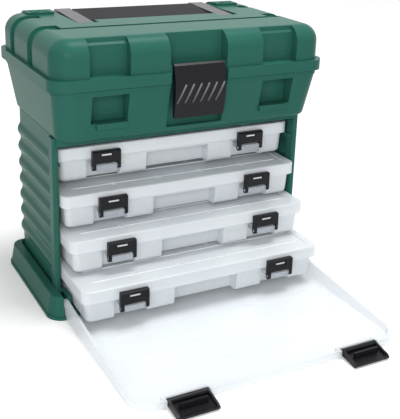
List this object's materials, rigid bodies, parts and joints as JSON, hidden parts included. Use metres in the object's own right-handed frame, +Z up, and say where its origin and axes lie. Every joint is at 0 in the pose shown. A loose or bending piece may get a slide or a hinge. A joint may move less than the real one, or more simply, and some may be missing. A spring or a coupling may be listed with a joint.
{
  "type": "fishing tackle cabinet",
  "caption": "Portable tackle cabinet: ribbed case with slide-out clear organisers behind a fold-down clear door, and a latched top bin with a carry handle in its lid.",
  "frame": {"origin": "centre of the base plinth's underside, on the floor", "axes": "+Z up; +X to the right as seen from the front; the front faces -Y"},
  "size_m": [0.274, 0.3364, 0.2507],
  "materials": {
    "green_plastic": "satin moulded polypropylene, dark sage green",
    "black_plastic": "satin moulded plastic, near black",
    "clear_plastic": "clear moulded plastic with a faint cool tint",
    "steel": "plain steel pins and screws"
  },
  "bodies": {
    "cabinet": {"base_plinth": "green_plastic", "cabinet_shell": "green_plastic", "fascia_strip": "green_plastic", "fascia_screws": "steel", "upper_bin": "green_plastic", "door_hinge_pins": "steel", "lid_hinge_pins": "steel"},
    "lid": {"lid": "green_plastic", "handle_pins": "steel", "main_latch_pin": "steel"},
    "carry_handle": {"handle_arms": "black_plastic", "handle_grip": "black_plastic", "grip_pins": "steel"},
    "main_latch": {"main_latch": "black_plastic"},
    "front_door": {"front_door": "clear_plastic", "door_latch_pins": "steel"},
    "door_latch_left": {"door_latch_left": "black_plastic"},
    "door_latch_right": {"door_latch_right": "black_plastic"},
    "organizer_1": {"organizer_1_tray": "clear_plastic", "organizer_1_lid": "clear_plastic", "organizer_1_dividers": "clear_plastic", "organizer_1_lid_pins": "steel"},
    "organizer_1_clip_left": {"organizer_1_clip_left": "black_plastic"},
    "organizer_1_clip_right": {"organizer_1_clip_right": "black_plastic"},
    "organizer_2": {"organizer_2_tray": "clear_plastic", "organizer_2_lid": "clear_plastic", "organizer_2_dividers": "clear_plastic", "organizer_2_lid_pins": "steel"},
    "organizer_2_clip_left": {"organizer_2_clip_left": "black_plastic"},
    "organizer_2_clip_right": {"organizer_2_clip_right": "black_plastic"},
    "organizer_3": {"organizer_3_tray": "clear_plastic", "organizer_3_lid": "clear_plastic", "organizer_3_dividers": "clear_plastic", "organizer_3_lid_pins": "steel"},
    "organizer_3_clip_left": {"organizer_3_clip_left": "black_plastic"},
    "organizer_3_clip_right": {"organizer_3_clip_right": "black_plastic"},
    "organizer_4": {"organizer_4_tray": "clear_plastic", "organizer_4_lid": "clear_plastic", "organizer_4_dividers": "clear_plastic", "organizer_4_lid_pins": "steel"},
    "organizer_4_clip_left": {"organizer_4_clip_left": "black_plastic"},
    "organizer_4_clip_right": {"organizer_4_clip_right": "black_plastic"}
  },
  "joints": [
    {"name": "lid_hinge", "type": "hinge", "parent": "cabinet", "child": "lid", "pos_m": [0, 0.0917, 0.2065], "axis": [-1, 0, 0], "range_deg": [0, 100]},
    {"name": "handle_hinge", "type": "hinge", "parent": "lid", "child": "carry_handle", "pos_m": [0, 0.011, 0.2427], "axis": [1, 0, 0], "range_deg": [0, 90]},
    {"name": "main_latch_hinge", "type": "hinge", "parent": "lid", "child": "main_latch", "pos_m": [0, -0.0695, 0.219], "axis": [-1, 0, 0], "range_deg": [0, 100]},
    {"name": "front_door_hinge", "type": "hinge", "parent": "cabinet", "child": "front_door", "pos_m": [0, -0.065, 0.0115], "axis": [1, 0, 0], "range_deg": [-90, 0]},
    {"name": "door_latch_left_hinge", "type": "hinge", "parent": "front_door", "child": "door_latch_left", "pos_m": [-0.08, -0.2222, 0.0052], "axis": [1, 0, 0], "range_deg": [0, 75]},
    {"name": "door_latch_right_hinge", "type": "hinge", "parent": "front_door", "child": "door_latch_right", "pos_m": [0.08, -0.2222, 0.0052], "axis": [1, 0, 0], "range_deg": [0, 75]},
    {"name": "organizer_1_slide", "type": "slide", "parent": "cabinet", "child": "organizer_1", "axis": [0, -1, 0], "range_m": [-0.0019, 0.1131]},
    {"name": "organizer_1_clip_left_hinge", "type": "hinge", "parent": "organizer_1", "child": "organizer_1_clip_left", "pos_m": [-0.074, -0.0428, 0.1283], "axis": [1, 0, 0], "range_deg": [0, 95]},
    {"name": "organizer_1_clip_right_hinge", "type": "hinge", "parent": "organizer_1", "child": "organizer_1_clip_right", "pos_m": [0.074, -0.0428, 0.1283], "axis": [1, 0, 0], "range_deg": [0, 95]},
    {"name": "organizer_2_slide", "type": "slide", "parent": "cabinet", "child": "organizer_2", "axis": [0, -1, 0], "range_m": [-0.0185, 0.0965]},
    {"name": "organizer_2_clip_left_hinge", "type": "hinge", "parent": "organizer_2", "child": "organizer_2_clip_left", "pos_m": [-0.074, -0.0594, 0.0905], "axis": [1, 0, 0], "range_deg": [0, 95]},
    {"name": "organizer_2_clip_right_hinge", "type": "hinge", "parent": "organizer_2", "child": "organizer_2_clip_right", "pos_m": [0.074, -0.0594, 0.0905], "axis": [1, 0, 0], "range_deg": [0, 95]},
    {"name": "organizer_3_slide", "type": "slide", "parent": "cabinet", "child": "organizer_3", "axis": [0, -1, 0], "range_m": [-0.0382, 0]},
    {"name": "organizer_3_clip_left_hinge", "type": "hinge", "parent": "organizer_3", "child": "organizer_3_clip_left", "pos_m": [-0.074, -0.0791, 0.056], "axis": [1, 0, 0], "range_deg": [0, 95]},
    {"name": "organizer_3_clip_right_hinge", "type": "hinge", "parent": "organizer_3", "child": "organizer_3_clip_right", "pos_m": [0.074, -0.0791, 0.056], "axis": [1, 0, 0], "range_deg": [0, 95]},
    {"name": "organizer_4_slide", "type": "slide", "parent": "cabinet", "child": "organizer_4", "axis": [0, -1, 0], "range_m": [-0.0665, 0]},
    {"name": "organizer_4_clip_left_hinge", "type": "hinge", "parent": "organizer_4", "child": "organizer_4_clip_left", "pos_m": [-0.074, -0.1074, 0.0215], "axis": [1, 0, 0], "range_deg": [0, 95]},
    {"name": "organizer_4_clip_right_hinge", "type": "hinge", "parent": "organizer_4", "child": "organizer_4_clip_right", "pos_m": [0.074, -0.1074, 0.0215], "axis": [1, 0, 0], "range_deg": [0, 95]}
  ],
  "couplings": [
    {"joint": "organizer_3_slide", "follows": "front_door_hinge", "m_per_rad": 0.02431},
    {"joint": "organizer_4_slide", "follows": "front_door_hinge", "m_per_rad": 0.04233}
  ]
}
